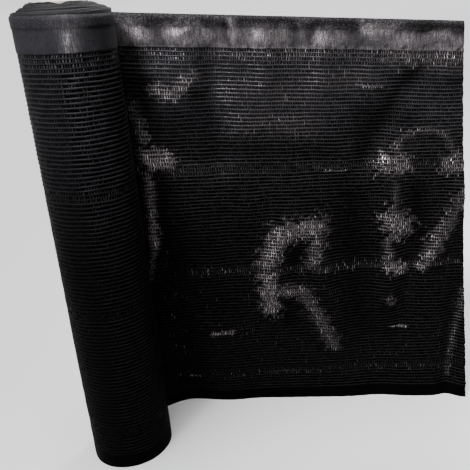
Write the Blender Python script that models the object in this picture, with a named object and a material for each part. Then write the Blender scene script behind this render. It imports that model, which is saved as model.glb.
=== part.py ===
"""Privacy screen netting: a wound roll on a paperboard core, stood on end, with a loose length drawn off its back."""
import math

import bmesh
import bpy

# Sizes in metres. +Z is up. The loose sheet leaves the roll at its back (+Y) and runs towards +X.
NET_HEIGHT = 1.000       # width of the web, which stands as the height of the roll
ROLL_RADIUS = 0.0925
SHEET_THICKNESS = 0.0020
CLEARANCE = 0.0003       # between solids that touch
LAYER = SHEET_THICKNESS + CLEARANCE
HEM_WIDTH = 0.065        # densely knitted selvedge
HEM_RISE = 0.0010        # how much the selvedge stands out from the open knit
CURL_WIDTH = 0.024       # outer third of the selvedge, which curls over
CURL_RISE = 0.0020
LOWER_HEM_WIDTH = 0.035

CORE_RADIUS = 0.0315
CORE_WALL = 0.0060
CORE_PROUD = 0.022       # the tube stands out of the web's upper edge by this much
CORE_CHAMFER = 0.0008
BORE_RADIUS = CORE_RADIUS + CLEARANCE

FOOT_INSET = 0.0015      # the winding's lower edge is rounded by this much
ROLL_SIDES = 72
CORE_SIDES = 56

SHEET_SPAN = 0.750       # where the far column of the sheet's line is given
SHEET_SINK = 0.055       # how far the top sinks for each metre away from the roll
SHEET_COLUMNS = 66
LEAVE_LENGTH = 0.16      # over this length the sheet swings from the roll's tangent onto its own line

# The winding's upper end, from the outside in. The turns have slid past each other into a low cone, which bulges on
# the right, stands up in a loose corner at the left and dips at the front, where the tube shows.
TOP_RINGS = (
    # radius, height, right side, left corner, front dip
    (0.0899, 1.0000, 0.0000, 0.000, 0.000),
    (0.0882, 1.0020, 0.0030, 0.000, 0.000),
    (0.0800, 1.0035, 0.0060, 0.000, 0.000),
    (0.0780, 1.0065, 0.0055, 0.001, 0.000),
    (0.0660, 1.0085, 0.0055, 0.004, 0.000),
    (0.0640, 1.0120, 0.0045, 0.005, 0.000),
    (0.0510, 1.0140, 0.0040, 0.003, 0.001),
    (0.0490, 1.0160, 0.0035, 0.001, 0.004),
    (BORE_RADIUS + 0.0010, 1.0165, 0.0030, 0.000, 0.005),
)
LEFT_CORNER, FRONT_DIP = math.radians(170), math.radians(275)
TOP_INSIDE = 1.0050      # the winding's height at the tube

# Heights of the web at which its shape is set, closer together at the selvedges. The winding and the sheet share
# them, so that they stay parallel where they meet.
WEB_LEVELS = (0.0, 0.003, 0.033, 0.040, 0.10, 0.165, 0.23, 0.295, 0.36, 0.425, 0.49, 0.555, 0.62, 0.685, 0.75,
              0.815, 0.875, 0.925, 0.9345, 0.9385, 0.957, 0.975, 0.979, 0.998)

# Where the sheet runs, behind the roll's axis at the roll and at SHEET_SPAN from it, and where its cut end is.
SHEET_LINE = (
    # level, depth near the roll, depth at the span, x of the cut end
    (0.00, 0.168, 0.030, 0.869),
    (0.50, 0.089, 0.070, 0.856),
    (1.00, 0.069, 0.030, 0.801),
)

# Folds that stand out of the sheet's line, each a soft ridge between two levels. Towards the viewer is negative.
FOLDS = (
    # x at upper end, x at lower end, half width, depth, lower level, upper level
    (0.120, 0.125, 0.024, -0.008, 0.78, 1.15),
    (0.228, 0.215, 0.028, -0.009, 0.80, 1.15),
    (0.315, 0.310, 0.020, -0.005, 0.84, 1.15),
    (0.390, 0.375, 0.028, -0.009, 0.78, 1.15),
    (0.520, 0.500, 0.030, -0.009, 0.78, 1.15),
    (0.620, 0.610, 0.026, -0.008, 0.82, 1.15),
    (0.705, 0.690, 0.026, -0.008, 0.82, 1.15),
    (0.790, 0.790, 0.026, -0.009, 0.80, 1.15),
    (0.102, 0.083, 0.024, -0.010, 0.34, 0.86),
    (0.185, 0.180, 0.040, -0.009, 0.74, 0.96),
    (0.275, 0.262, 0.028, 0.012, 0.60, 0.98),
    (0.740, 0.560, 0.032, 0.012, 0.60, 0.94),
    (0.430, 0.338, 0.030, -0.013, 0.24, 0.60),
    (0.465, 0.548, 0.030, -0.013, 0.10, 0.58),
    (0.440, 0.440, 0.060, -0.007, 0.27, 0.42),
    (0.735, 0.735, 0.060, -0.009, 0.65, 0.82),
    (0.664, 0.674, 0.028, -0.011, 0.40, 0.71),
    (0.862, 0.762, 0.032, -0.013, 0.34, 0.68),
    (0.682, 0.664, 0.030, -0.010, 0.22, 0.47),
    (0.596, 0.604, 0.034, 0.008, 0.26, 0.62),
    (0.738, 0.700, 0.032, 0.010, 0.12, 0.54),
    (0.250, 0.240, 0.060, -0.010, -0.10, 0.34),
    (0.620, 0.650, 0.060, 0.008, -0.10, 0.24),
    (0.852, 0.815, 0.024, 0.013, -0.10, 0.38),
    (0.890, 0.862, 0.030, -0.010, -0.10, 0.42),
)


def clear_scene():
    for old in list(bpy.data.objects):
        bpy.data.objects.remove(old, do_unlink=True)


def make_material(name, color, roughness):
    material = bpy.data.materials.new(name)
    material.use_nodes = True
    shader = material.node_tree.nodes["Principled BSDF"]
    shader.inputs["Base Color"].default_value = (*color, 1.0)
    shader.inputs["Roughness"].default_value = roughness
    shader.inputs["Metallic"].default_value = 0.0
    material.diffuse_color = (*color, 1.0)
    return material


def make_object(name, points, faces, material):
    mesh = bpy.data.meshes.new(name)
    mesh.from_pydata(points, [], faces)
    bm = bmesh.new()
    bm.from_mesh(mesh)
    bmesh.ops.recalc_face_normals(bm, faces=bm.faces)
    bmesh.ops.triangulate(bm, faces=bm.faces)
    bm.to_mesh(mesh)
    bm.free()
    mesh.materials.append(material)
    mesh.shade_smooth()
    mesh.set_sharp_from_angle(angle=math.radians(35))
    obj = bpy.data.objects.new(name, mesh)
    bpy.context.scene.collection.objects.link(obj)
    return obj


def smooth_step(low, high, value):
    t = min(max((value - low) / (high - low), 0.0), 1.0)
    return t * t * (3.0 - 2.0 * t)


def hem_rise(z):
    """How far the selvedges stand out from the knit at a height of the web."""
    top = NET_HEIGHT
    rise = HEM_RISE * smooth_step(top - HEM_WIDTH - 0.001, top - HEM_WIDTH + 0.001, z)
    rise += CURL_RISE * smooth_step(top - CURL_WIDTH - 0.001, top - CURL_WIDTH + 0.001, z)
    rise += HEM_RISE * (1.0 - smooth_step(LOWER_HEM_WIDTH - 0.001, LOWER_HEM_WIDTH + 0.001, z))
    return rise


def winding_wave(angle, z):
    """Gentle unevenness of the wound layers, the same at both ends of a turn."""
    return (0.0006 * math.sin(2.0 * angle + 5.0 * z) + 0.0004 * math.sin(3.0 * angle - 9.0 * z + 1.0)
            + 0.0003 * math.sin(5.0 * angle + 14.0 * z))


def winding_radius(turn, z):
    """Outer radius of the outermost layer. turn runs from 0, where the sheet joins, to 1, one turn below it."""
    angle = math.pi / 2 + 2.0 * math.pi * turn
    wave = winding_wave(angle, z) * math.sin(math.pi * turn) ** 2
    return ROLL_RADIUS - LAYER * turn + hem_rise(z) + wave


def top_height(ring, angle):
    radius, height, right, corner, dip = ring
    height += right * (0.5 + 0.5 * math.cos(angle))
    height += corner * math.exp(5.0 * (math.cos(angle - LEFT_CORNER) - 1.0))
    return height - dip * math.exp(14.0 * (math.cos(angle - FRONT_DIP) - 1.0))


def build_roll(material):
    """The winding: one turn of side wall with a step at the back, uneven rings on top, a flat foot and a bore."""
    columns = ROLL_SIDES + 1
    points, rings = [], []

    def add_ring(radius_at, height_at, closed):
        """closed rings share one point between the first and the last column."""
        ring = []
        for i in range(columns):
            if closed and i == columns - 1:
                ring.append(ring[0])
                continue
            turn = i / ROLL_SIDES
            angle = math.pi / 2 + 2.0 * math.pi * turn
            radius = radius_at(turn)
            points.append((radius * math.cos(angle), radius * math.sin(angle), height_at(angle)))
            ring.append(len(points) - 1)
        rings.append(ring)

    add_ring(lambda turn: BORE_RADIUS, lambda angle: 0.0, True)
    add_ring(lambda turn: ROLL_RADIUS - 0.010, lambda angle: 0.0, True)
    first_side = len(rings)
    for z in WEB_LEVELS:
        inset = FOOT_INSET if z == 0.0 else 0.0
        add_ring(lambda turn, z=z, inset=inset: winding_radius(turn, z) - inset, lambda angle, z=z: z, False)
    last_side = len(rings) - 1
    for ring in TOP_RINGS:
        add_ring(lambda turn, ring=ring: ring[0], lambda angle, ring=ring: top_height(ring, angle), True)
    add_ring(lambda turn: BORE_RADIUS, lambda angle: TOP_INSIDE, True)

    faces = []
    count = len(rings)
    for k in range(count):
        lower, upper = rings[k], rings[(k + 1) % count]
        for i in range(ROLL_SIDES):
            faces.append([lower[i], lower[i + 1], upper[i + 1], upper[i]])
    # The step where the sheet joins: its first column is the outer edge, its last the inner edge.
    for k in range(first_side, last_side):
        lower, upper = rings[k], rings[k + 1]
        faces.append([lower[-1], lower[0], upper[0], upper[-1]])
    faces.append([rings[first_side - 1][0], rings[first_side][0], rings[first_side][-1]])
    faces.append([rings[last_side + 1][0], rings[last_side][-1], rings[last_side][0]])
    return make_object("wound_roll", points, faces, material)


def build_core(material):
    """A paperboard tube, open through its whole length."""
    top = NET_HEIGHT + CORE_PROUD
    inner = CORE_RADIUS - CORE_WALL
    profile = (
        (inner + CORE_CHAMFER, 0.0), (CORE_RADIUS - CORE_CHAMFER, 0.0),
        (CORE_RADIUS, CORE_CHAMFER), (CORE_RADIUS, top - CORE_CHAMFER),
        (CORE_RADIUS - CORE_CHAMFER, top), (inner + CORE_CHAMFER, top),
        (inner, top - CORE_CHAMFER), (inner, CORE_CHAMFER),
    )
    points, faces = [], []
    for i in range(CORE_SIDES):
        angle = 2.0 * math.pi * i / CORE_SIDES
        points += [(r * math.cos(angle), r * math.sin(angle), z) for r, z in profile]
    n = len(profile)
    for i in range(CORE_SIDES):
        a, b = i * n, ((i + 1) % CORE_SIDES) * n
        for k in range(n):
            m = (k + 1) % n
            faces.append([a + k, b + k, b + m, a + m])
    return make_object("core", points, faces, material)


def between(table, level, column):
    """Quadratic through the three rows of a table whose first column is 0, 0.5 and 1."""
    foot, middle, head = (row[column] for row in table)
    return foot * (1 - level) * (1 - 2 * level) + middle * 4 * level * (1 - level) + head * level * (2 * level - 1)


def fold_depth(x, level):
    depth = 0.0
    for x_upper, x_lower, half_width, height, low, high in FOLDS:
        t = (level - low) / (high - low)
        if not 0.0 < t < 1.0:
            continue
        center = x_lower + (x_upper - x_lower) * t
        fade = smooth_step(0.0, 0.3, t) * (1.0 - smooth_step(0.7, 1.0, t))
        depth += height * fade * math.exp(-((x - center) / half_width) ** 2)
    return depth


def sheet_depth(x, level):
    """Depth of the sheet's middle behind the roll's axis."""
    leave = smooth_step(0.0, LEAVE_LENGTH, x)
    along = x / SHEET_SPAN
    line = between(SHEET_LINE, level, 1) * (1 - along) + between(SHEET_LINE, level, 2) * along
    wound = ROLL_RADIUS - SHEET_THICKNESS / 2
    return wound + leave * (line - wound + fold_depth(x, level)) + hem_rise(level * NET_HEIGHT) * (1 - leave)


def build_sheet(material):
    """The loose length: a thin sheet with the roll's height, standing on its lower selvedge."""
    grid = []
    rows = len(WEB_LEVELS) - 1
    for z in WEB_LEVELS[:-1] + (NET_HEIGHT,):
        level = z / NET_HEIGHT
        end = between(SHEET_LINE, level, 3)
        row = []
        for i in range(SHEET_COLUMNS + 1):
            u = i / SHEET_COLUMNS
            x = CLEARANCE + (end - CLEARANCE) * (0.82 * u + 0.18 * u * u)
            sunk = SHEET_SINK * level * x * x / (x + 0.04)
            row.append((x, sheet_depth(x, level), level * NET_HEIGHT - sunk))
        grid.append(row)

    points, half = [], SHEET_THICKNESS / 2
    width = SHEET_COLUMNS + 1
    for side in (-1, 1):
        for j, row in enumerate(grid):
            for i, (x, y, z) in enumerate(row):
                a, b = row[max(i - 1, 0)], row[min(i + 1, SHEET_COLUMNS)]
                slope = math.atan2(b[1] - a[1], b[0] - a[0])
                points.append((x - side * half * math.sin(slope), y + side * half * math.cos(slope), z))

    def at(side, i, j):
        return (side * (rows + 1) + j) * width + i

    faces = []
    for j in range(rows):
        for i in range(SHEET_COLUMNS):
            for side in (0, 1):
                faces.append([at(side, i, j), at(side, i + 1, j), at(side, i + 1, j + 1), at(side, i, j + 1)])
        for i in (0, SHEET_COLUMNS):
            faces.append([at(0, i, j), at(0, i, j + 1), at(1, i, j + 1), at(1, i, j)])
    for i in range(SHEET_COLUMNS):
        for j in (0, rows):
            faces.append([at(0, i, j), at(0, i + 1, j), at(1, i + 1, j), at(1, i, j)])
    return make_object("loose_sheet", points, faces, material)


def center_on_floor(objects):
    """Moves the part so that the middle of its box stands on the origin."""
    spans = [[min(v.co[k] for o in objects for v in o.data.vertices),
              max(v.co[k] for o in objects for v in o.data.vertices)] for k in (0, 1)]
    for o in objects:
        o.location.x = -sum(spans[0]) / 2
        o.location.y = -sum(spans[1]) / 2


def main():
    clear_scene()
    netting = make_material("netting", (0.020, 0.020, 0.022), 0.42)
    paperboard = make_material("paperboard", (0.72, 0.63, 0.52), 0.85)
    parts = [build_core(paperboard), build_roll(netting), build_sheet(netting)]
    center_on_floor(parts)


main()
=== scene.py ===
"""Dresses a roll of black privacy screen netting: its knit, its wound edges and its paperboard tube."""
import math
from types import SimpleNamespace

import bpy
import numpy as np
from mathutils import Matrix, Vector


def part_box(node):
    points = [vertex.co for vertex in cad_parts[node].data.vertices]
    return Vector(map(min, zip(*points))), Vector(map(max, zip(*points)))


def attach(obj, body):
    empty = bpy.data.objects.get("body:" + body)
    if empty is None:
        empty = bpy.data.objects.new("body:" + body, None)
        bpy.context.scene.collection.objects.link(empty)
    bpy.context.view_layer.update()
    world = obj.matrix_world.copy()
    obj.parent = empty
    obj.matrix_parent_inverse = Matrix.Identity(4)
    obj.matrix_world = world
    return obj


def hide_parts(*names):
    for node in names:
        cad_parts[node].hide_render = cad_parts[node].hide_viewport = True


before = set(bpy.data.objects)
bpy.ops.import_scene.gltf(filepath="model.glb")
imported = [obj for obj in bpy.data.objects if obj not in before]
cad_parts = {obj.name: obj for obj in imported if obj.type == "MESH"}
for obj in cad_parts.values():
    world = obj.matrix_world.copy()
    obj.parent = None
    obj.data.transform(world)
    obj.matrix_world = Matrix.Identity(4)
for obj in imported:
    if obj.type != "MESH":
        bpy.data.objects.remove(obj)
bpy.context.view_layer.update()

# Sizes of the solids, in metres. The roll's axis stands at AXIS.
CORE_LOW, CORE_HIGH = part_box("core")
AXIS = ((CORE_LOW[0] + CORE_HIGH[0]) / 2, (CORE_LOW[1] + CORE_HIGH[1]) / 2)
NET_HEIGHT = 1.000
ROLL_RADIUS = 0.0925
SKIN_INSET = 0.0006      # how far the web's middle lies inside the roll's solid
SHEET_THICKNESS = 0.0020
LAYER = 0.0023           # how much the outermost turn's radius falls over one turn
HEM_WIDTH, HEM_RISE = 0.065, 0.0010
CURL_WIDTH, CURL_RISE = 0.024, 0.0020
LOWER_HEM_WIDTH = 0.035
CORE_RADIUS = 0.0315
SHEET_SPAN = 0.750       # distance from the roll's axis at which SHEET_LINE states the sheet's depth again
SHEET_SINK = 0.055       # how much the sheet sinks away from the roll, for each metre of length and height
LEAVE_LENGTH = 0.16      # length over which the sheet leaves the winding

SHEET_LINE = (
    # level, depth near the roll, depth at the span, x of the cut end
    (0.00, 0.168, 0.030, 0.869),
    (0.50, 0.089, 0.070, 0.856),
    (1.00, 0.069, 0.030, 0.801),
)

# Folds that stand out of the sheet's line, each a soft ridge between two levels. A negative depth is
# towards the viewer.
FOLDS = (
    # x at upper end, x at lower end, half width, depth, lower level, upper level
    (0.120, 0.125, 0.024, -0.008, 0.78, 1.15),
    (0.228, 0.215, 0.028, -0.009, 0.80, 1.15),
    (0.315, 0.310, 0.020, -0.005, 0.84, 1.15),
    (0.390, 0.375, 0.028, -0.009, 0.78, 1.15),
    (0.520, 0.500, 0.030, -0.009, 0.78, 1.15),
    (0.620, 0.610, 0.026, -0.008, 0.82, 1.15),
    (0.705, 0.690, 0.026, -0.008, 0.82, 1.15),
    (0.790, 0.790, 0.026, -0.009, 0.80, 1.15),
    (0.102, 0.083, 0.024, -0.010, 0.34, 0.86),
    (0.185, 0.180, 0.040, -0.009, 0.74, 0.96),
    (0.275, 0.262, 0.028, 0.012, 0.60, 0.98),
    (0.740, 0.560, 0.032, 0.012, 0.60, 0.94),
    (0.430, 0.338, 0.030, -0.013, 0.24, 0.60),
    (0.465, 0.548, 0.030, -0.013, 0.10, 0.58),
    (0.440, 0.440, 0.060, -0.007, 0.27, 0.42),
    (0.735, 0.735, 0.060, -0.009, 0.65, 0.82),
    (0.664, 0.674, 0.028, -0.011, 0.40, 0.71),
    (0.862, 0.762, 0.032, -0.013, 0.34, 0.68),
    (0.682, 0.664, 0.030, -0.010, 0.22, 0.47),
    (0.596, 0.604, 0.034, 0.008, 0.26, 0.62),
    (0.738, 0.700, 0.032, 0.010, 0.12, 0.54),
    (0.250, 0.240, 0.060, -0.010, -0.10, 0.34),
    (0.620, 0.650, 0.060, 0.008, -0.10, 0.24),
    (0.852, 0.815, 0.024, 0.013, -0.10, 0.38),
    (0.890, 0.862, 0.030, -0.010, -0.10, 0.42),
)

# Sharper creases of the knit, from one point of the web to another.
CREASES = (
    # x, level, x, level, half width, depth
    (0.195, 0.955, 0.228, 0.968, 0.007, -0.004),
    (0.665, 0.212, 0.720, 0.208, 0.006, -0.003),
    (0.490, 0.655, 0.560, 0.655, 0.006, -0.003),
    (0.585, 0.853, 0.635, 0.853, 0.006, -0.003),
    (0.140, 0.086, 0.172, 0.084, 0.006, -0.003),
    (0.395, 0.350, 0.495, 0.340, 0.012, -0.004),
    (0.410, 0.530, 0.490, 0.526, 0.014, -0.005),
    (0.670, 0.748, 0.790, 0.742, 0.014, -0.005),
    (0.650, 0.665, 0.686, 0.663, 0.014, -0.005),
    (0.805, 0.662, 0.842, 0.660, 0.014, -0.005),
    (0.660, 0.424, 0.705, 0.420, 0.012, -0.004),
    (0.768, 0.397, 0.806, 0.393, 0.012, -0.004),
    (0.655, 0.293, 0.676, 0.291, 0.010, -0.004),
    (0.105, 0.698, 0.156, 0.690, 0.016, -0.005),
    (0.135, 0.880, 0.230, 0.850, 0.020, -0.005),
)

# Places where the web's tapes are glossy and their colour is painted paler: partly real gloss, partly
# painted highlight, in soft lines on the sheet.
SHINES = (
    # x, level, x, level, half width, strength
    (0.140, 0.892, 0.175, 0.896, 0.016, 0.18),
    (0.146, 0.848, 0.185, 0.840, 0.018, 0.75),
    (0.185, 0.842, 0.228, 0.880, 0.018, 0.65),
    (0.092, 0.815, 0.108, 0.740, 0.017, 0.78),
    (0.102, 0.700, 0.148, 0.692, 0.024, 1.05),
    (0.200, 0.675, 0.290, 0.660, 0.018, 0.30),
    (0.108, 0.660, 0.102, 0.480, 0.015, 0.62),
    (0.098, 0.480, 0.083, 0.400, 0.011, 0.48),
    (0.300, 0.850, 0.480, 0.835, 0.060, 0.36),
    (0.320, 0.780, 0.460, 0.770, 0.045, 0.38),
    (0.480, 0.865, 0.600, 0.870, 0.040, 0.40),
    (0.362, 0.420, 0.392, 0.492, 0.030, 0.75),
    (0.392, 0.492, 0.440, 0.508, 0.032, 0.80),
    (0.440, 0.508, 0.488, 0.512, 0.030, 0.80),
    (0.488, 0.500, 0.478, 0.420, 0.026, 0.62),
    (0.360, 0.410, 0.367, 0.290, 0.030, 0.72),
    (0.395, 0.342, 0.450, 0.334, 0.024, 0.60),
    (0.450, 0.325, 0.485, 0.260, 0.026, 0.55),
    (0.485, 0.260, 0.524, 0.170, 0.026, 0.52),
    (0.672, 0.672, 0.678, 0.725, 0.015, 0.55),
    (0.685, 0.735, 0.730, 0.752, 0.014, 0.50),
    (0.730, 0.752, 0.785, 0.745, 0.014, 0.50),
    (0.795, 0.735, 0.818, 0.690, 0.014, 0.50),
    (0.652, 0.668, 0.690, 0.666, 0.028, 0.92),
    (0.808, 0.664, 0.850, 0.662, 0.028, 0.90),
    (0.676, 0.620, 0.680, 0.540, 0.013, 0.50),
    (0.674, 0.520, 0.694, 0.500, 0.036, 0.88),
    (0.664, 0.470, 0.664, 0.410, 0.018, 0.55),
    (0.666, 0.394, 0.700, 0.382, 0.021, 0.92),
    (0.852, 0.600, 0.812, 0.510, 0.024, 0.55),
    (0.812, 0.510, 0.776, 0.435, 0.028, 0.60),
    (0.772, 0.420, 0.750, 0.385, 0.017, 0.85),
    (0.668, 0.300, 0.676, 0.288, 0.014, 0.50),
    (0.868, 0.323, 0.825, 0.060, 0.011, 0.45),
    (0.672, 0.212, 0.718, 0.208, 0.0035, 0.9),
    (0.505, 0.655, 0.558, 0.655, 0.0035, 0.7),
    (0.588, 0.853, 0.632, 0.853, 0.0035, 0.7),
    (0.142, 0.086, 0.170, 0.084, 0.0035, 0.7),
    (0.195, 0.955, 0.228, 0.968, 0.004, 0.62),
    (0.050, 0.955, 0.800, 0.960, 0.020, 0.16),
    (0.108, 0.961, 0.140, 0.960, 0.020, 0.48),
    (0.192, 0.960, 0.255, 0.960, 0.020, 0.42),
    (0.312, 0.985, 0.318, 0.950, 0.008, 0.65),
    (0.365, 0.959, 0.415, 0.960, 0.020, 0.50),
    (0.498, 0.958, 0.535, 0.959, 0.018, 0.60),
    (0.590, 0.978, 0.640, 0.970, 0.015, 0.75),
    (0.650, 0.955, 0.725, 0.957, 0.019, 0.40),
    (0.738, 0.968, 0.762, 0.970, 0.010, 0.65),
    (0.795, 0.955, 0.815, 0.965, 0.013, 0.65),
    (0.090, 0.922, 0.270, 0.922, 0.020, 0.26),
    (0.280, 0.922, 0.540, 0.922, 0.020, 0.52),
    (0.540, 0.922, 0.640, 0.922, 0.020, 0.44),
    (0.640, 0.920, 0.840, 0.920, 0.024, 0.66),
    (0.740, 0.895, 0.840, 0.895, 0.022, 0.40),
    (0.215, 0.222, 0.266, 0.226, 0.008, 0.62),
    (0.350, 0.086, 0.435, 0.090, 0.004, 0.40),
)

# Places where single tapes glint, partly by gloss and partly by painted glints in their colour: the open
# rows, and loose stitches towards the foot.
SPARKS = (
    # x, level, x, level, half width, strength
    (0.100, 0.665, 0.220, 0.665, 0.022, 0.45),
    (0.220, 0.665, 0.620, 0.665, 0.020, 0.28),
    (0.620, 0.665, 0.840, 0.665, 0.020, 0.40),
    (0.180, 0.405, 0.840, 0.392, 0.022, 0.47),
    (0.690, 0.386, 0.780, 0.386, 0.014, 0.56),
    (0.120, 0.090, 0.840, 0.090, 0.022, 0.38),
    (0.110, 0.640, 0.130, 0.150, 0.050, 0.34),
    (0.200, 0.250, 0.420, 0.180, 0.060, 0.27),
    (0.520, 0.420, 0.520, 0.200, 0.045, 0.27),
    (0.600, 0.120, 0.840, 0.200, 0.050, 0.26),
    (0.250, 0.900, 0.600, 0.900, 0.035, 0.30),
    (0.140, 0.130, 0.840, 0.130, 0.120, 0.22),
    (0.160, 0.320, 0.840, 0.320, 0.070, 0.20),
    (0.200, 0.560, 0.600, 0.540, 0.060, 0.17),
)

# Painted shade: hollows of the sheet and dark arcs on its selvedge, where its colour is darkened towards
# black.
PAINTED_SHADES = (
    # x, level, x, level, half width, strength
    (0.690, 0.880, 0.840, 0.880, 0.035, 0.35),
    (0.600, 0.790, 0.690, 0.780, 0.045, 0.58),
    (0.580, 0.740, 0.600, 0.710, 0.040, 0.40),
    (0.180, 0.730, 0.520, 0.700, 0.030, 0.40),
    (0.180, 0.790, 0.240, 0.790, 0.040, 0.35),
    (0.560, 0.600, 0.590, 0.250, 0.045, 0.45),
    (0.160, 0.430, 0.240, 0.300, 0.060, 0.32),
    (0.730, 0.600, 0.735, 0.480, 0.024, 0.60),
    (0.435, 0.450, 0.430, 0.400, 0.018, 0.60),
    (0.405, 0.300, 0.410, 0.250, 0.020, 0.50),
    (0.060, 0.950, 0.035, 0.400, 0.024, 0.70),
    (0.150, 0.985, 0.200, 0.988, 0.007, 0.60),
    (0.150, 0.975, 0.172, 0.945, 0.014, 0.45),
    (0.255, 0.988, 0.300, 0.982, 0.007, 0.65),
    (0.300, 0.982, 0.302, 0.955, 0.008, 0.50),
    (0.335, 0.990, 0.440, 0.990, 0.008, 0.65),
    (0.440, 0.975, 0.442, 0.950, 0.012, 0.45),
    (0.470, 0.980, 0.490, 0.990, 0.008, 0.60),
    (0.478, 0.975, 0.472, 0.945, 0.009, 0.55),
    (0.490, 0.990, 0.590, 0.990, 0.007, 0.60),
    (0.560, 0.975, 0.585, 0.950, 0.016, 0.50),
    (0.680, 0.988, 0.830, 0.986, 0.009, 0.70),
    (0.700, 0.975, 0.730, 0.978, 0.007, 0.45),
)

# The knit: rows between the two selvedges, and the rows that are left open as a ladder of bare threads.
ROWS = 102
KNIT_LOW, KNIT_HIGH = LOWER_HEM_WIDTH, NET_HEIGHT - HEM_WIDTH
PITCH = (KNIT_HIGH - KNIT_LOW) / ROWS
THREAD_PITCH = 0.0052
LOOP_PITCH = 0.0030
RIDGE_HEIGHT = 0.0011
RIDGE_HALF = 0.22        # half width of a row's ridge, in rows
OPEN_RIDGE_HALF = 0.17
RUNG_SLANT = 0.07        # how far a tape leans sideways over one row, in threads
OPEN_FADE = 0.3          # half the length over which an open band begins or ends, in rows
OPEN_BANDS = (
    # first row from the top, last row
    (0.2, 3.4),
    (29.3, 31.7),
    (59.4, 61.6),
    (93.6, 96.4),
)

# The selvedges: slanted upright ribs across fine courses. The upper one ends in a curl that turns back.
RIB_PITCH, RIB_SLANT = 0.0034, 0.35
COURSE_PITCH = 0.0026
CURL_RELIEF = 0.0012
TURN_BACK, TURN_BACK_WIDTH = 0.0030, 0.008

# Where the mesh has its rows: within a knitted row, in rows, and over the upper selvedge, in metres.
ROW_STEPS = (0.0, 0.15, 0.30, 0.50, 0.70, 0.85)
HEM_STEPS = (0.0015, 0.004, 0.010, 0.018, 0.026, 0.034, 0.0395, 0.041, 0.043, 0.047, 0.052, 0.057,
             0.061, 0.0635, 0.065)
LOWER_HEM_STEPS = 8
ROLL_COLUMNS = 152
SHEET_COLUMNS = 152

# The wound layers' upper edges, from the outside in. The turns have slid past each other into a low cone.
TOP_RINGS = (
    # radius, height, right side, left corner, front dip
    (0.0925, 1.0000, 0.0000, 0.000, 0.000),
    (0.0895, 1.0005, 0.0010, 0.000, 0.000),
    (0.0882, 1.0024, 0.0030, 0.000, 0.000),
    (0.0800, 1.0039, 0.0060, 0.000, 0.000),
    (0.0780, 1.0069, 0.0055, 0.001, 0.000),
    (0.0660, 1.0089, 0.0055, 0.004, 0.000),
    (0.0640, 1.0124, 0.0045, 0.005, 0.000),
    (0.0510, 1.0144, 0.0040, 0.003, 0.001),
    (0.0490, 1.0164, 0.0035, 0.001, 0.004),
    (0.0325, 1.0169, 0.0030, 0.000, 0.005),
)
LEFT_CORNER, FRONT_DIP = math.radians(170), math.radians(275)
WOUND_TURNS = 26
TURN_STEPS = 150
EDGE_PROFILE = (
    # outwards, up
    (0.0007, -0.009),
    (0.0008, -0.0012),
    (0.0003, 0.0),
    (-0.0003, -0.0001),
    (-0.0006, -0.009),
)

# Plain rings at the winding's ends: a dark floor under the turns' upper edges, and the foot.
END_COLUMNS = 144
TOP_END = (
    # radius, height
    (ROLL_RADIUS - 0.0022, 0.9965),
    (0.080, 0.9970),
    (CORE_RADIUS + 0.0004, 1.0060),
)
FOOT_END = (
    # radius, height
    (CORE_RADIUS + 0.0004, 0.0004),
    (0.06, 0.0004),
    (ROLL_RADIUS - 0.0020, 0.0002),
)

# The strip down the roll's front, in degrees round its axis: glossy, and painted paler as a painted
# highlight. It is wider on the curl.
STRIP_ANGLE = 283.0
STRIP_WIDTH, CURL_STRIP_WIDTH = 9.0, 15.0

# The netting's plastic. Where it is glossy, the colour is how strongly it mirrors. The names with WOUND are
# for
# the turns on the roll: the same tapes, toned for how the light falls there, which is painted light.
# Near black: the holes, painted as the shade seen through the net, and the black that painted shade darkens
# towards.
HOLE_AND_SHADE_BLACK = (0.0002, 0.0002, 0.0002)
TAPE_DEEP, TAPE_DARK = (0.0006, 0.0006, 0.0007), (0.0030, 0.0028, 0.0030)
TAPE_PALE = (0.038, 0.0350, 0.0365)
# The bare tapes of the open rows, painted paler as lit threads and paler again towards the top: painted
# light.
OPEN_TAPE_LOW, OPEN_TAPE_TOP = (0.075, 0.069, 0.071), (0.110, 0.101, 0.105)
BAND_DARK = (0.0240, 0.0228, 0.0236)
BAND_PALE, WOUND_BAND_PALE = (0.0560, 0.0523, 0.0530), (0.0530, 0.0520, 0.0590)
SOFT_BAND, WOUND_SOFT_BAND = (0.0300, 0.0294, 0.0330), (0.0150, 0.0145, 0.0158)
SOFT_TAPE, WOUND_SOFT_TAPE = (0.0360, 0.0352, 0.0400), (0.0190, 0.0184, 0.0200)
# Pale colours for glossy tapes: where they are fully metallic this is how strongly they mirror, elsewhere a
# painted sheen and painted glints.
VEIL_BAND, VEIL_TAPE = (0.116, 0.1030, 0.1035), (0.072, 0.0630, 0.0635)
GLINT_BAND, GLINT_TAPE = (0.40, 0.357, 0.362), (0.54, 0.482, 0.488)
HEM_DARK, WOUND_HEM_DARK = (0.015, 0.0142, 0.0152), (0.024, 0.0236, 0.0264)
HEM_PALE, WOUND_HEM_PALE = (0.046, 0.0425, 0.0440), (0.033, 0.0325, 0.0365)
# The selvedge's gloss, partly painted sheen, and painted glints on its curl.
HEM_GLOSS, HEM_GLINT = (0.43, 0.386, 0.397), (0.42, 0.378, 0.388)
# The lower selvedge, painted near black: painted shade at the foot.
LOWER_HEM = (0.0012, 0.0012, 0.0013)
NETTING_SPECULAR = 0.012

EDGE_DARK, EDGE_PALE = (0.003, 0.003, 0.0035), (0.016, 0.0156, 0.0170)
EDGE_SPECULAR = 0.26
BOARD_DARK, BOARD_PALE = (0.80, 0.70, 0.60), (0.95, 0.87, 0.78)
BOARD_STAIN, BOARD_SEAM = (0.62, 0.52, 0.42), (0.30, 0.22, 0.15)
PLY_HEIGHT = 0.11        # height between two seams of the paperboard
FLOOR_DARK, FLOOR_PALE = (0.91, 0.91, 0.91), (0.94, 0.94, 0.94)

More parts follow.
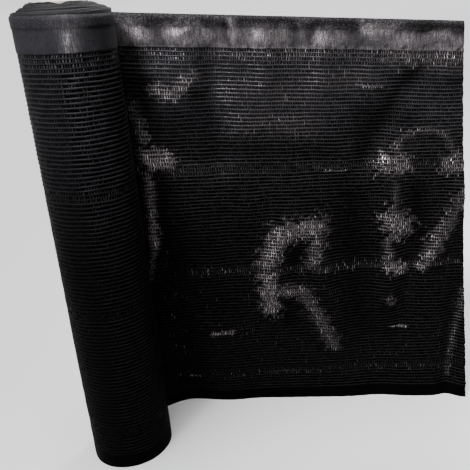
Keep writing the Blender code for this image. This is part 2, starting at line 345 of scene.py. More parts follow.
# The camera, fitted to the photograph: its place from the foot of the roll's axis, and its focal length and
# shift in picture widths.
CAMERA_FROM_AXIS = (0.2521, -1.2571, 1.0306)
CAMERA_RIGHT = (0.98614, -0.16364, -0.02726)
CAMERA_UP = (0.08685, 0.36930, 0.92524)
CAMERA_FOCAL = 604.0 / 470.0
CAMERA_SHIFT = -0.15
SENSOR_WIDTH = 36.0

SPOT_AIM_HEIGHT = 1.8
SPOT_HALF_ANGLE = 19.5
SPOT_SIZE = 0.55
WORLD_STRENGTH = 0.20
FLOOR_REACH, SWEEP_RADIUS, WALL_TOP = 22.0, 8.0, 26.0
STUDIO_COLUMNS = 96


def smooth_step(low, high, value):
    t = np.clip((value - low) / (high - low), 0.0, 1.0)
    return t * t * (3.0 - 2.0 * t)


def sway(u, v, seed, waves, longest):
    """A smooth unevenness between about -1 and 1, as a sum of seeded waves."""
    rng = np.random.default_rng(seed)
    total = np.zeros(np.broadcast(u, v).shape)
    for _ in range(waves):
        length = longest * rng.uniform(0.3, 1.0)
        heading = rng.uniform(0.0, math.pi)
        turn = 2.0 * math.pi / length
        total += np.sin(turn * (u * math.cos(heading) + v * math.sin(heading)) + rng.uniform(0.0, 6.28))
    return total / math.sqrt(waves)


def open_share(v):
    """1 in the rows that are left open, 0 in the closed knit."""
    row = (KNIT_HIGH - v) / PITCH
    share = np.zeros_like(v)
    for first, last in OPEN_BANDS:
        begun = smooth_step(first - OPEN_FADE, first + OPEN_FADE, row)
        ended = smooth_step(last - OPEN_FADE, last + OPEN_FADE, row)
        share = np.maximum(share, begun * (1 - ended))
    return share


def web_levels():
    """Heights of the mesh's rows: a few for each knitted row, and closer ones over the selvedges."""
    low = np.linspace(0.0, KNIT_LOW, LOWER_HEM_STEPS + 1)[:-1]
    knit = (np.arange(ROWS)[:, None] + np.array(ROW_STEPS)[None, :]).reshape(-1)
    knit = KNIT_LOW + PITCH * np.append(knit, ROWS)
    return np.concatenate((low, knit, np.array(HEM_STEPS) + KNIT_HIGH))


def relief(u, v):
    """How far the knit stands proud of the web's middle: a ridge on each row, a ledge on each selvedge."""
    row = (v - KNIT_LOW) / PITCH
    inside = (v > KNIT_LOW - 1e-6) & (v < KNIT_HIGH + 1e-6)
    opened = open_share(v)
    half = RIDGE_HALF + (OPEN_RIDGE_HALF - RIDGE_HALF) * opened
    across = np.clip(np.abs(row - np.round(row)) / half, 0.0, 1.0)
    ridge = RIDGE_HEIGHT * 0.5 * (1.0 + np.cos(math.pi * across)) * (1.0 - 0.4 * opened)
    ridge *= 1.0 + 0.20 * sway(u * 3.0, v, 5, 5, 0.05)
    out = np.where(inside, ridge - 0.0002, 0.0)
    ledge = HEM_RISE * smooth_step(KNIT_HIGH, KNIT_HIGH + 0.002, v)
    ledge += HEM_RISE * (1 - smooth_step(KNIT_LOW - 0.002, KNIT_LOW, v))
    curl_start = NET_HEIGHT - CURL_WIDTH
    curl = CURL_RELIEF * smooth_step(curl_start - 0.0020, curl_start + 0.0030, v)
    curl -= TURN_BACK * smooth_step(NET_HEIGHT - TURN_BACK_WIDTH, NET_HEIGHT, v) ** 2
    return out + ledge + curl


def hem_rise(v):
    """How far the winding's selvedges stand out, which the sheet follows where it leaves the roll."""
    top = NET_HEIGHT
    rise = HEM_RISE * smooth_step(top - HEM_WIDTH - 0.001, top - HEM_WIDTH + 0.001, v)
    rise += CURL_RISE * smooth_step(top - CURL_WIDTH - 0.001, top - CURL_WIDTH + 0.001, v)
    return rise + HEM_RISE * (1.0 - smooth_step(LOWER_HEM_WIDTH - 0.001, LOWER_HEM_WIDTH + 0.001, v))


def between(level, column):
    """A column of SHEET_LINE at any level, on a curve through its three rows."""
    foot, middle, head = (row[column] for row in SHEET_LINE)
    lower = foot * (1 - level) * (1 - 2 * level)
    return lower + middle * 4 * level * (1 - level) + head * level * (2 * level - 1)


def gap_to(x, level, x0, l0, x1, l1):
    """Distance from each point of the web to the line between two points of it."""
    dx, dl = x1 - x0, l1 - l0
    along = np.clip(((x - x0) * dx + (level - l0) * dl) / (dx * dx + dl * dl), 0.0, 1.0)
    return np.hypot(x - x0 - along * dx, level - l0 - along * dl)


def fold_depth(x, level):
    depth = np.zeros_like(x)
    for x_upper, x_lower, half_width, height, low, high in FOLDS:
        t = (level - low) / (high - low)
        center = x_lower + (x_upper - x_lower) * t
        fade = smooth_step(0.0, 0.3, t) * (1.0 - smooth_step(0.7, 1.0, t)) * ((t > 0) & (t < 1))
        depth += height * fade * np.exp(-((x - center) / half_width) ** 2)
    return depth


def crease_depth(x, level):
    depth = np.zeros_like(x)
    for *line, half_width, height in CREASES:
        depth += height * np.exp(-(gap_to(x, level, *line) / half_width) ** 2)
    return depth


def sheet_depth(x, level):
    """How far the sheet stands behind the roll's axis, at a distance to the right of it and a level."""
    leave = smooth_step(0.0, LEAVE_LENGTH, x)
    along = x / SHEET_SPAN
    line = between(level, 1) * (1 - along) + between(level, 2) * along
    wound = ROLL_RADIUS - SHEET_THICKNESS / 2
    small = 0.0004 * sway(x, level, 11, 9, 0.09) + 0.00015 * sway(x, level, 12, 9, 0.035)
    folds = fold_depth(x, level) + crease_depth(x, level) + small
    return wound + leave * (line - wound + folds) + hem_rise(level) * (1 - leave)


def painted_shade_to_foot(level):
    """Painted shade: the share of the web's colour that stays, less towards its lower selvedge."""
    return 0.28 + 0.72 * smooth_step(0.46, 0.92, level)


def top_rows(level):
    """1 in the open rows under the upper selvedge."""
    begun = smooth_step(KNIT_HIGH - 0.045, KNIT_HIGH - 0.030, level)
    return begun * (1.0 - smooth_step(KNIT_HIGH - 0.001, KNIT_HIGH + 0.001, level))


def web_light(x, level):
    """The loose sheet's shares for the netting's material.

    shade is 1 where the colour stays, and less where painted shade darkens the hollows and the web towards
    the foot. shine is how glossy and how brightly painted a place is, spark is how many of its tapes glint
    by gloss and painted colour, and soft is how grey its gaps look.
    """
    shine, spark = np.zeros_like(x), np.zeros_like(x)
    ragged = 1.0 + 0.30 * sway(x, level, 51, 9, 0.035) + 0.15 * sway(x, level, 53, 9, 0.012)
    ragged = np.clip(ragged, 0.5, 1.5)
    for *line, half_width, strength in SHINES:
        gap = gap_to(x, level, *line) / (half_width * ragged)
        shine = np.maximum(shine, strength * (1.0 - smooth_step(0.15, 1.45, gap)))
        spark = np.maximum(spark, strength * np.exp(-(gap / 1.30) ** 2))
    for *line, half_width, strength in SPARKS:
        gap = gap_to(x, level, *line) / (half_width * ragged)
        spark = np.maximum(spark, strength * np.exp(-gap ** 2))
    # Painted shade, darker towards the foot and in the hollows.
    shade = painted_shade_to_foot(level)
    # Painted shade in the hollows.
    for *line, half_width, strength in PAINTED_SHADES:
        shade = shade * (1.0 - strength * np.exp(-(gap_to(x, level, *line) / half_width) ** 2))
    shine = shine * np.clip(0.9 + 0.2 * sway(x, level, 54, 9, 0.02), 0.3, 1.3)
    tight = smooth_step(0.58, 0.90, level) * (0.80 - 0.25 * smooth_step(0.20, 0.45, x))
    soft = np.maximum(tight, 0.5 * top_rows(level))
    return {"shade": shade, "shine": shine, "spark": spark, "soft": soft}


def roll_light(front, u, v):
    """The roll's shares for the netting's material, as in web_light.

    A strip runs down its front that is glossy and painted paler, partly real gloss and partly painted
    highlight, and front is in degrees from there. The gaps are painted greyer left of it, painted light on
    its lit side.
    Its shade is painted shade towards the foot.
    """
    hem = smooth_step(KNIT_HIGH - 0.001, KNIT_HIGH + 0.001, v)
    width = STRIP_WIDTH + (CURL_STRIP_WIDTH - STRIP_WIDTH) * smooth_step(0.970, 0.978, v)
    # Painted highlight, partly real gloss: a strip down the roll's front.
    strip = np.exp(-(front / width) ** 2) * smooth_step(0.30, 1.0, v)
    strip = strip * (1.0 - 0.5 * smooth_step(0.970, 0.985, v))
    shine = np.clip(strip * (0.19 + 0.15 * hem) * (1.0 + 0.3 * sway(u, v, 52, 9, 0.030)), 0.0, 1.0)
    # Painted light: greyer gaps on the roll's lit left side.
    left = smooth_step(-7.0, -21.0, front)
    return {"shade": painted_shade_to_foot(v), "shine": shine, "spark": 0.6 * shine,
            "soft": np.maximum(left * (1.0 - hem), 0.5 * top_rows(v))}


def grid_object(name, points, uv, material, web=None, body="root"):
    """A grid of points as one mesh, with the web's own length and height as its UV map.

    web gives named shares for the netting's material, point by point.
    """
    rows, columns = points.shape[:2]
    index = np.arange(rows * columns).reshape(rows, columns)
    corners = (index[:-1, :-1], index[:-1, 1:], index[1:, 1:], index[1:, :-1])
    quads = np.stack(corners, axis=-1).reshape(-1, 4)
    mesh = bpy.data.meshes.new(name)
    mesh.from_pydata(points.reshape(-1, 3).tolist(), [], quads.tolist())
    layer = mesh.uv_layers.new(name="web")
    layer.data.foreach_set("uv", uv.reshape(-1, 2)[quads.reshape(-1)].astype(np.float32).reshape(-1))
    for title, share in (web or {}).items():
        values = mesh.attributes.new(title, "FLOAT", "POINT")
        values.data.foreach_set("value", share.astype(np.float32).reshape(-1))
    mesh.materials.append(material)
    mesh.shade_smooth()
    obj = bpy.data.objects.new(name, mesh)
    bpy.context.scene.collection.objects.link(obj)
    if body:
        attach(obj, body)
    return obj


def turned_points(radius, angle, height, center=AXIS):
    """Points round an upright axis, from arrays or numbers that go together."""
    x, y = center[0] + radius * np.cos(angle), center[1] + radius * np.sin(angle)
    return np.stack(np.broadcast_arrays(x, y, height), axis=-1)


class Nodes:
    """Short names for building a material's nodes."""

    def __init__(self, name):
        self.material = bpy.data.materials.new(name)
        self.material.use_nodes = True
        self.tree = self.material.node_tree
        self.shader = self.tree.nodes["Principled BSDF"]

    def add(self, kind, **settings):
        node = self.tree.nodes.new(kind)
        for key, value in settings.items():
            setattr(node, key, value)
        return node

    def join(self, value, socket):
        if isinstance(value, bpy.types.NodeSocket):
            self.tree.links.new(value, socket)
        else:
            socket.default_value = value

    def math(self, operation, a, b=0.0):
        node = self.add("ShaderNodeMath", operation=operation)
        for value, socket in zip((a, b), node.inputs):
            self.join(value, socket)
        return node.outputs[0]

    def plus(self, a, b):
        return self.math("ADD", a, b)

    def minus(self, a, b):
        return self.math("SUBTRACT", a, b)

    def times(self, a, b):
        return self.math("MULTIPLY", a, b)

    def over(self, a, b):
        return self.math("DIVIDE", a, b)

    def most(self, a, b):
        return self.math("MAXIMUM", a, b)

    def ramp(self, value, low, high):
        """A smooth step from 0 at low to 1 at high."""
        node = self.add("ShaderNodeMapRange", interpolation_type="SMOOTHSTEP")
        self.join(value, node.inputs["Value"])
        self.join(low, node.inputs["From Min"])
        self.join(high, node.inputs["From Max"])
        return node.outputs["Result"]

    def mix(self, factor, a, b):
        return self.plus(self.times(a, self.minus(1.0, factor)), self.times(b, factor))

    def color(self, factor, a, b):
        node = self.add("ShaderNodeMix", data_type="RGBA")
        self.join(factor, node.inputs[0])
        for value, socket in ((a, node.inputs[6]), (b, node.inputs[7])):
            self.join((*value, 1.0) if isinstance(value, tuple) else value, socket)
        return node.outputs[2]

    def noise(self, vector, scale, detail=2.0):
        node = self.add("ShaderNodeTexNoise")
        self.join(vector, node.inputs["Vector"])
        node.inputs["Scale"].default_value = scale
        node.inputs["Detail"].default_value = detail
        return node.outputs["Fac"]

    def vector(self, x, y, z=0.0):
        node = self.add("ShaderNodeCombineXYZ")
        for value, socket in zip((x, y, z), node.inputs):
            self.join(value, socket)
        return node.outputs[0]

    def split(self, vector):
        node = self.add("ShaderNodeSeparateXYZ")
        self.join(vector, node.inputs[0])
        return node.outputs[0], node.outputs[1], node.outputs[2]

    def place(self):
        return self.add("ShaderNodeTexCoord").outputs["Object"]

    def bump(self, height):
        node = self.add("ShaderNodeBump")
        node.inputs["Strength"].default_value = 1.0
        node.inputs["Distance"].default_value = 1.0
        self.join(height, node.inputs["Height"])
        self.join(node.outputs["Normal"], self.shader.inputs["Normal"])


def web_sockets(n):
    """The web's own coordinates, the shares that its mesh gives, and the noises that its parts share."""
    u, v, _ = n.split(n.add("ShaderNodeUVMap", uv_map="web").outputs[0])
    shares = {title: n.add("ShaderNodeAttribute", attribute_name=title).outputs["Fac"]
              for title in ("shade", "shine", "spark", "soft")}
    place, drawn = n.vector(u, v), n.vector(u, n.times(v, 0.35))
    return SimpleNamespace(
        u=u, v=v, place=place, **shares,
        fine=n.noise(place, 330.0),
        uneven=n.noise(drawn, 260.0),
        glitter=n.noise(drawn, 620.0, 1.0),
        streak=n.noise(n.vector(n.times(u, 0.14), v), 300.0),
        ribs=n.noise(n.vector(u, n.times(v, 0.10)), 420.0, 1.0),
        wound=n.ramp(u, 0.02, -0.02))


def knit_pattern(n, web):
    """Where a point lies in the knit: on a band of loops, on a tape between two bands or in a hole."""
    knit = SimpleNamespace()
    knit.row = n.over(n.minus(web.v, KNIT_LOW), PITCH)
    knit.gap_number = n.math("FLOOR", knit.row)
    knit.from_ridge = n.math("ABSOLUTE", n.minus(knit.row, n.math("ROUND", knit.row)))
    fade = 0.0006
    knit.shown = n.times(n.ramp(web.v, KNIT_LOW - fade, KNIT_LOW + fade),
                         n.ramp(web.v, KNIT_HIGH + fade, KNIT_HIGH - fade))
    from_top = n.over(n.minus(KNIT_HIGH, web.v), PITCH)
    knit.opened = 0.0
    for first, last in OPEN_BANDS:
        band = n.times(n.ramp(from_top, first - OPEN_FADE, first + OPEN_FADE),
                       n.ramp(from_top, last + OPEN_FADE, last - OPEN_FADE))
        knit.opened = n.most(knit.opened, band)

    # A close band of loops lies along each row. Its edge wanders a little.
    ragged = n.times(n.minus(web.fine, 0.5), 0.16)
    knit.half = n.plus(n.mix(knit.opened, RIDGE_HALF, OPEN_RIDGE_HALF), ragged)
    knit.on_band = n.ramp(n.minus(knit.half, knit.from_ridge), -0.05, 0.04)

    # Between the bands, short tapes cross the gap like the rungs of a ladder. Each has its own chances.
    wander = n.times(n.noise(web.place, 70.0, 0.0), 1.3)
    slant = n.times(n.minus(knit.row, knit.gap_number), RUNG_SLANT)
    rung = n.plus(n.plus(n.over(web.u, THREAD_PITCH), wander), slant)
    knit.across = n.minus(n.math("FRACT", rung), 0.5)
    knit.from_rung = n.math("ABSOLUTE", knit.across)
    cell = n.add("ShaderNodeTexWhiteNoise", noise_dimensions="3D")
    n.join(n.vector(n.math("FLOOR", rung), knit.gap_number), cell.inputs["Vector"])
    chance = n.add("ShaderNodeSeparateColor")
    n.join(cell.outputs["Color"], chance.inputs[0])
    knit.wide, knit.turned, knit.pale = chance.outputs[0], chance.outputs[1], chance.outputs[2]
    rung_half = n.mix(knit.opened, n.mix(knit.wide, 0.20, 0.40), n.mix(knit.wide, 0.16, 0.40))
    on_rung = n.ramp(n.minus(rung_half, knit.from_rung), -0.05, 0.06)
    knit.strand = n.ramp(knit.from_rung, 0.27, 0.10)
    knit.hole = n.minus(1.0, n.most(knit.on_band, on_rung))

    # Single tapes glint round a shining place, and all of them in it, under a veil of dull gloss: partly
    # real gloss, partly painted glints and painted sheen in the colour.
    needed = n.mix(cell.outputs["Value"], 0.12, 1.05)
    lit = n.ramp(n.minus(n.times(web.spark, 1.10), needed), -0.08, 0.24)
    bright = n.times(n.mix(n.math("POWER", knit.turned, 2.5), 0.12, 1.0),
                     n.mix(n.ramp(web.spark, 0.2, 0.9), 0.14, 1.0))
    knit.dash = n.times(n.times(lit, knit.strand), bright)
    knit.veil = n.times(n.ramp(web.shine, 0.0, 1.10), n.mix(n.ramp(web.uneven, 0.25, 0.75), 0.40, 1.25))
    knit.point = n.times(n.ramp(web.glitter, 0.50, 0.68), n.ramp(web.spark, 0.30, 0.95))
    return knit


def knit_relief(n, web, knit):
    """Height of the rounded bands and of the tapes, which lean back like shingles, each turned a little."""
    round_share = n.math("MINIMUM", n.over(knit.from_ridge, knit.half), 1.0)
    crown = n.times(n.math("COSINE", n.times(round_share, math.pi)), 0.00012)
    loops = n.times(n.math("SINE", n.times(web.u, 2 * math.pi / LOOP_PITCH)), 0.00004)
    band_height = n.plus(n.plus(loops, crown), n.times(web.fine, 0.0003))
    twist = n.times(n.minus(knit.turned, 0.5), n.mix(knit.opened, 0.0014, 0.0060))
    lean = n.mix(knit.pale, 0.14 * PITCH, 0.34 * PITCH)
    lift = n.times(lean, n.minus(n.plus(knit.gap_number, 0.5), knit.row))
    rounding = n.times(n.times(knit.from_rung, knit.from_rung), 0.0030)
    rung_height = n.minus(n.plus(n.times(twist, knit.across), lift), rounding)
    return n.minus(n.mix(knit.on_band, rung_height, band_height), n.times(knit.hole, 0.0009))


def hem_relief(n, web):
    """Height of a selvedge: fine courses that lean back, upright ribs with a slant, and an uneven hand."""
    rib = n.math("SINE", n.times(n.plus(web.u, n.times(web.v, RIB_SLANT)), 2 * math.pi / RIB_PITCH))
    course = n.times(n.math("FRACT", n.over(web.v, COURSE_PITCH)), 0.0007)
    return n.plus(n.minus(n.times(rib, 0.00008), course), n.times(web.fine, 0.0005))


def tape_color(n, web, knit):
    color = n.color(knit.wide, TAPE_DEEP, TAPE_DARK)
    color = n.color(n.times(knit.strand, n.ramp(knit.pale, 0.30, 1.0)), color, TAPE_PALE)
    # Painted light: bare tapes of the open rows are paler, more so towards the top.
    color = n.color(n.times(knit.opened, n.times(knit.wide, knit.strand)), color,
                    n.color(n.ramp(web.v, 0.75, 0.90), OPEN_TAPE_LOW, OPEN_TAPE_TOP))
    # Greyer gaps; on the roll's lit left side this is painted light.
    color = n.color(n.times(web.soft, 0.55), color, n.color(web.wound, SOFT_TAPE, WOUND_SOFT_TAPE))
    # Painted shade: darker in the hollows and towards the foot.
    color = n.color(web.shade, HOLE_AND_SHADE_BLACK, color)
    # Painted sheen and painted glints, partly real gloss.
    color = n.color(n.times(knit.veil, 0.75), color, VEIL_TAPE)
    return n.color(n.most(knit.dash, n.times(knit.point, 0.30)), color, GLINT_TAPE)


def band_color(n, web, knit):
    pale = n.color(web.wound, BAND_PALE, WOUND_BAND_PALE)
    color = n.color(n.ramp(web.streak, 0.25, 0.75), BAND_DARK, pale)
    color = n.color(n.times(knit.opened, 0.20), color, HOLE_AND_SHADE_BLACK)
    # Greyer gaps; on the roll's lit left side this is painted light.
    color = n.color(n.times(web.soft, 0.55), color, n.color(web.wound, SOFT_BAND, WOUND_SOFT_BAND))
    # Painted shade: darker in the hollows and towards the foot.
    color = n.color(web.shade, HOLE_AND_SHADE_BLACK, color)
    # Painted sheen and painted glints, partly real gloss.
    color = n.color(n.times(knit.veil, n.mix(knit.opened, 0.80, 0.30)), color, VEIL_BAND)
    return n.color(n.most(n.times(knit.dash, 0.75), n.times(knit.point, 0.40)), color, GLINT_BAND)


def hem_color(n, web):
    """Colour of the selvedges, with painted sheen where they shine, and painted shade with painted glints
    over the curl along the upper edge.
    """
    color = n.color(n.ramp(web.uneven, 0.25, 0.75), n.color(web.wound, HEM_DARK, WOUND_HEM_DARK),
                    n.color(web.wound, HEM_PALE, WOUND_HEM_PALE))
    # Painted sheen, partly real gloss: where the selvedge shines, its colour turns pale.
    sheen = n.times(n.mix(n.ramp(web.glitter, 0.40, 0.64), 0.45, 1.0),
                    n.mix(n.ramp(web.ribs, 0.30, 0.66), 0.35, 1.15))
    color = n.color(n.times(web.shine, sheen), color, HEM_GLOSS)
    curl_start, fade = NET_HEIGHT - CURL_WIDTH, 0.0025
    curl = n.ramp(web.v, curl_start - fade, curl_start + fade)
    curl_glint = n.times(n.times(n.ramp(web.fine, 0.52, 0.66), curl), n.mix(web.wound, 1.0, 0.35))
    # Painted shade over the curl, then painted glints on it.
    color = n.color(n.times(curl, 0.22), color, HOLE_AND_SHADE_BLACK)
    color = n.color(n.times(curl_glint, 0.16), color, HEM_GLINT)
    # Painted shade in the hollows and towards the foot.
    color = n.color(web.shade, HOLE_AND_SHADE_BLACK, color)
    # Painted shade: the lower selvedge near black.
    return n.color(n.ramp(web.v, 0.50, 0.40), color, LOWER_HEM)


def netting_material(name):
    """Black knitted tape: a close band of loops along each row, tapes across the gaps, and holes painted
    near black as the shade seen through them.
    """
    n = Nodes(name)
    web = web_sockets(n)
    knit = knit_pattern(n, web)
    n.bump(n.mix(knit.shown, hem_relief(n, web), knit_relief(n, web, knit)))

    color = n.color(knit.on_band, tape_color(n, web, knit), band_color(n, web, knit))
    # Painted shade: the holes are near black.
    color = n.color(n.times(knit.hole, n.mix(web.soft, 1.0, 0.55)), color, HOLE_AND_SHADE_BLACK)
    n.join(n.color(knit.shown, hem_color(n, web), color), n.shader.inputs["Base Color"])

    # Shining tapes are glossy: what they mirror makes them bright, and their colour is how strongly. Where
    # they are not fully metallic, that pale colour is a painted highlight.
    gloss = n.most(n.ramp(web.shine, 0.04, 0.40), n.ramp(knit.dash, 0.02, 0.30))
    gloss = n.times(gloss, n.minus(1.0, knit.hole))
    n.join(n.mix(knit.shown, n.ramp(web.shine, 0.10, 0.50), gloss), n.shader.inputs["Metallic"])
    rough = n.mix(knit.on_band, n.mix(knit.turned, 0.26, 0.42), 0.48)
    rough = n.mix(knit.hole, rough, 0.95)
    n.join(n.mix(knit.shown, 0.50, rough), n.shader.inputs["Roughness"])
    n.shader.inputs["Specular IOR Level"].default_value = NETTING_SPECULAR
    return n.material


def edge_material(name):
    """The wound layers seen on edge: matt black knit with a few lighter fibres."""
    n = Nodes(name)
    fine = n.noise(n.place(), 520.0, 4.0)
    n.join(n.color(n.ramp(fine, 0.35, 0.75), EDGE_DARK, EDGE_PALE), n.shader.inputs["Base Color"])
    n.join(n.mix(fine, 0.55, 0.80), n.shader.inputs["Roughness"])
    n.shader.inputs["Specular IOR Level"].default_value = EDGE_SPECULAR
    n.bump(n.times(fine, 0.0012))
    return n.material


def paperboard_material(name):
    """Pale paperboard wound on a slant, with a dark seam, fibres and stains."""
    n = Nodes(name)
    place = n.place()
    x, y, z = n.split(place)
    x, y = n.minus(x, AXIS[0]), n.minus(y, AXIS[1])
    around = n.over(n.math("ARCTAN2", y, x), 2 * math.pi)
    ply = n.math("FRACT", n.plus(n.over(z, PLY_HEIGHT), around))
    seam = n.ramp(n.math("ABSOLUTE", n.minus(ply, 0.5)), 0.012, 0.004)
    fibre = n.noise(n.vector(n.times(x, 3.0), n.times(y, 3.0), z), 260.0, 5.0)
    stain = n.noise(place, 24.0, 2.0)
    board = n.color(n.times(stain, 0.30), n.color(fibre, BOARD_DARK, BOARD_PALE), BOARD_STAIN)
    n.join(n.color(n.times(seam, 0.7), board, BOARD_SEAM), n.shader.inputs["Base Color"])
    n.join(n.mix(fibre, 0.75, 0.92), n.shader.inputs["Roughness"])
    n.bump(n.minus(n.times(fibre, 0.0004), n.times(seam, 0.0005)))
    return n.material


def floor_material(name):
    n = Nodes(name)
    n.join(n.color(n.noise(n.place(), 3.0), FLOOR_DARK, FLOOR_PALE), n.shader.inputs["Base Color"])
    n.shader.inputs["Roughness"].default_value = 0.9
    return n.material


def build_roll_skin(material):
    """The outermost turn of the web, one layer thinner where it goes under the loose sheet."""
    turn, v = np.meshgrid(np.linspace(0.0, 1.0, ROLL_COLUMNS + 1), web_levels())
    angle = math.pi / 2 + 2 * math.pi * turn
    u = -turn * 2 * math.pi * ROLL_RADIUS
    wave = (0.0006 * np.sin(2 * angle + 5 * v) + 0.0004 * np.sin(3 * angle - 9 * v + 1.0)
            + 0.0003 * np.sin(5 * angle + 14 * v)) * np.sin(math.pi * turn) ** 2
    radius = ROLL_RADIUS - SKIN_INSET - LAYER * turn + wave + relief(u, v)
    radius = radius + 0.0002 * sway(u, v, 21, 8, 0.05)
    radius -= TURN_BACK * smooth_step(NET_HEIGHT - 0.003, NET_HEIGHT, v) ** 2
    height = v + 0.0007 * sway(u, v, 22, 7, 0.11) * np.sin(math.pi * np.clip(v, 0, 1))
    points = turned_points(radius, angle, height)
    web = roll_light(np.degrees(angle) - STRIP_ANGLE, u, v)
    skin = grid_object("roll_skin", points, np.stack((u, v), axis=-1), material, web)
    return skin


def top_height(radius, angle):
    """Height of the wound layers' edges, from the table of rings."""
    table = np.array(TOP_RINGS)[::-1]
    height, right, corner, dip = (np.interp(radius, table[:, 0], table[:, k]) for k in (1, 2, 3, 4))
    height = height + right * (0.5 + 0.5 * np.cos(angle))
    height = height + corner * np.exp(5.0 * (np.cos(angle - LEFT_CORNER) - 1.0))
    return height - dip * np.exp(14.0 * (np.cos(angle - FRONT_DIP) - 1.0))


def strip_uv(along, rows):
    """A plain UV map for a strip of a few rows, one centimetre for each."""
    return np.stack(np.broadcast_arrays(along[None, :], np.arange(rows)[:, None] * 0.01), axis=-1)


def build_wound_edges(material):
    """The edges of the wound turns at the top, as one ribbon that spirals in to the tube."""
    turn = np.linspace(0.0, WOUND_TURNS, WOUND_TURNS * TURN_STEPS + 1)
    angle = math.pi / 2 + 2 * math.pi * turn
    outer = ROLL_RADIUS - 0.0030
    inner = CORE_RADIUS + 0.0012
    middle = outer + (inner - outer) * turn / WOUND_TURNS
    middle = middle + 0.0004 * sway(angle * 0.05, turn * 0.02, 31, 9, 0.16)
    uneven = 0.0007 + 0.0009 * smooth_step(0.080, 0.060, middle)
    top = top_height(middle, angle) + uneven * sway(angle * 0.03, turn * 0.05, 32, 9, 0.12)
    points = np.stack([turned_points(middle + outwards, angle, top + up) for outwards, up in EDGE_PROFILE])
    uv = strip_uv(turn, len(EDGE_PROFILE))
    ribbon = grid_object("wound_edges", points, uv, material)


def build_end(name, material, rings):
    """A plain ring at the winding's end, from its table of radius and height."""
    angle = np.linspace(0.0, 2 * math.pi, END_COLUMNS + 1)
    points = np.stack([turned_points(radius, angle, height) for radius, height in rings])
    end = grid_object(name, points, strip_uv(angle * 0.08, len(rings)), material)
    return end


def build_sheet(material):
    """The loose length as a thin knitted sheet on the folds of its solid."""
    v = web_levels()
    end = between(v, 3)[:, None] + 0.0006 * sway(np.zeros((len(v), 1)), v[:, None], 41, 8, 0.03)
    t = np.linspace(0.0, 1.0, SHEET_COLUMNS + 1)[None, :]
    start = 0.0005
    x = start + (end - start) * t
    level = np.broadcast_to(v[:, None], x.shape)
    depth = sheet_depth(x, level) - relief(x, level)
    step = 0.0015
    slope = (sheet_depth(x + step, level) - sheet_depth(x - step, level)) / (2 * step)
    leave = smooth_step(0.0, 0.05, x)
    side = relief(x, level) * slope / np.sqrt(1 + slope * slope) * leave
    height = level * (1.0 - SHEET_SINK * x * x / (x + 0.04))
    height = height + 0.0012 * sway(x, level, 42, 9, 0.16) * np.sin(math.pi * level) * leave
    # Close to the roll the sheet lies further out, clear of the turn under it.
    near_roll = (1 - smooth_step(0.0, 0.09, x)) * 0.0021
    points = np.stack((AXIS[0] + x + side, AXIS[1] + depth + near_roll, height), axis=-1)
    uv = np.stack((x, level), axis=-1)
    sheet = grid_object("netting_sheet", points, uv, material, web_light(x, level))
    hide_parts("loose_sheet")
    return sheet


def place_lamp(data, color, azimuth, elevation, distance, aim):
    """Puts a lamp so that it shines at aim. Its azimuth is counted from the front, towards the right."""
    data.color = color
    a, e = math.radians(azimuth), math.radians(elevation)
    source = Vector((math.sin(a) * math.cos(e), -math.cos(a) * math.cos(e), math.sin(e)))
    lamp = bpy.data.objects.new(data.name, data)
    lamp.location = Vector(aim) + source * distance
    lamp.rotation_euler = (-source).to_track_quat("-Z", "Y").to_euler()
    bpy.context.scene.collection.objects.link(lamp)


def add_sun(name, strength, azimuth, elevation, angle, color):
    """A broad even light. Where a sun stands makes no difference."""
    data = bpy.data.lights.new(name, "SUN")
    data.energy, data.angle = strength, math.radians(angle)
    place_lamp(data, color, azimuth, elevation, 0.0, (0.0, 0.0, 0.0))


def add_spot(name, power, azimuth, elevation, distance, color):
    """A broad soft lamp that looks over the top of the roll, so that its light fades towards the foot."""
    data = bpy.data.lights.new(name, "SPOT")
    data.energy, data.shadow_soft_size = power, SPOT_SIZE
    data.spot_size, data.spot_blend = math.radians(2 * SPOT_HALF_ANGLE), 1.0
    place_lamp(data, color, azimuth, elevation, distance, (0.0, 0.0, SPOT_AIM_HEIGHT))


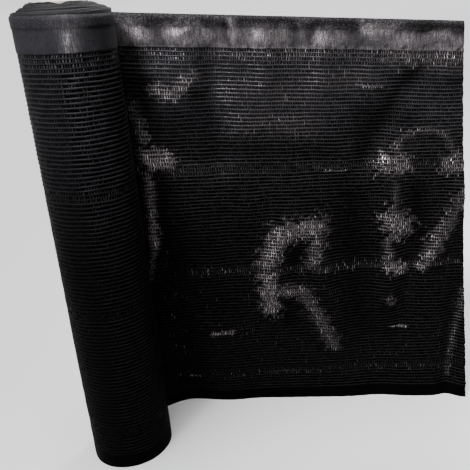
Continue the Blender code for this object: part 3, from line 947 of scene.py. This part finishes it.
def build_studio():
    """A pale floor that sweeps up far away into a wall all round, so that no horizon shows."""
    profile = [(0.0, 0.0), (6.0, 0.0), (14.0, 0.0), (FLOOR_REACH, 0.0)]
    for a in map(math.radians, range(10, 91, 10)):
        out, up = SWEEP_RADIUS * math.sin(a), SWEEP_RADIUS - SWEEP_RADIUS * math.cos(a)
        profile.append((FLOOR_REACH + out, up))
    profile.append((FLOOR_REACH + SWEEP_RADIUS, WALL_TOP))
    angle = np.linspace(0.0, 2 * math.pi, STUDIO_COLUMNS + 1)
    # The floor lies a hair under the foot, so that no two faces coincide.
    points = np.stack([turned_points(r, angle, z - 0.0002, (0.0, 0.0)) for r, z in profile])
    pale = floor_material("pale_floor")
    floor = grid_object("studio_floor", points, points[..., :2] * 0.1, pale, body=None)
    floor.visible_diffuse = False
    world = bpy.data.worlds.new("studio")
    bpy.context.scene.world = world
    world.use_nodes = True
    background = world.node_tree.nodes["Background"]
    background.inputs["Color"].default_value = (1.0, 1.0, 1.0, 1.0)
    background.inputs["Strength"].default_value = WORLD_STRENGTH
    add_sun("top", strength=4.4, azimuth=-45.0, elevation=82.0, angle=36.0, color=(0.98, 0.98, 1.0))
    add_spot("key", power=2000.0, azimuth=-38.0, elevation=40.0, distance=3.2, color=(0.98, 0.985, 1.03))
    add_spot("rear", power=1000.0, azimuth=150.0, elevation=36.0, distance=3.4, color=(1.0, 1.0, 1.0))


def build_camera():
    data = bpy.data.cameras.new("camera")
    data.sensor_width = SENSOR_WIDTH
    data.lens = SENSOR_WIDTH * CAMERA_FOCAL
    data.shift_x = CAMERA_SHIFT
    data.clip_start, data.clip_end = 0.05, 50.0
    camera = bpy.data.objects.new("camera", data)
    right, up = Vector(CAMERA_RIGHT).normalized(), Vector(CAMERA_UP).normalized()
    turn = Matrix((right, up, right.cross(up))).transposed()
    across, back, high = CAMERA_FROM_AXIS
    camera.matrix_world = Matrix.Translation((AXIS[0] + across, AXIS[1] + back, high)) @ turn.to_4x4()
    bpy.context.scene.collection.objects.link(camera)
    bpy.context.scene.camera = camera


def main():
    netting = netting_material("knitted_tape")
    edges = edge_material("wound_edge")
    skin = build_roll_skin(netting)
    build_wound_edges(edges)
    build_end("roll_top", edges, TOP_END)
    foot = build_end("roll_foot", edges, FOOT_END)
    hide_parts("wound_roll")
    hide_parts("wound_roll")
    sheet = build_sheet(netting)
    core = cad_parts["core"]
    core.data.materials.clear()
    core.data.materials.append(paperboard_material("paperboard_tube"))
    build_studio()
    build_camera()


main()
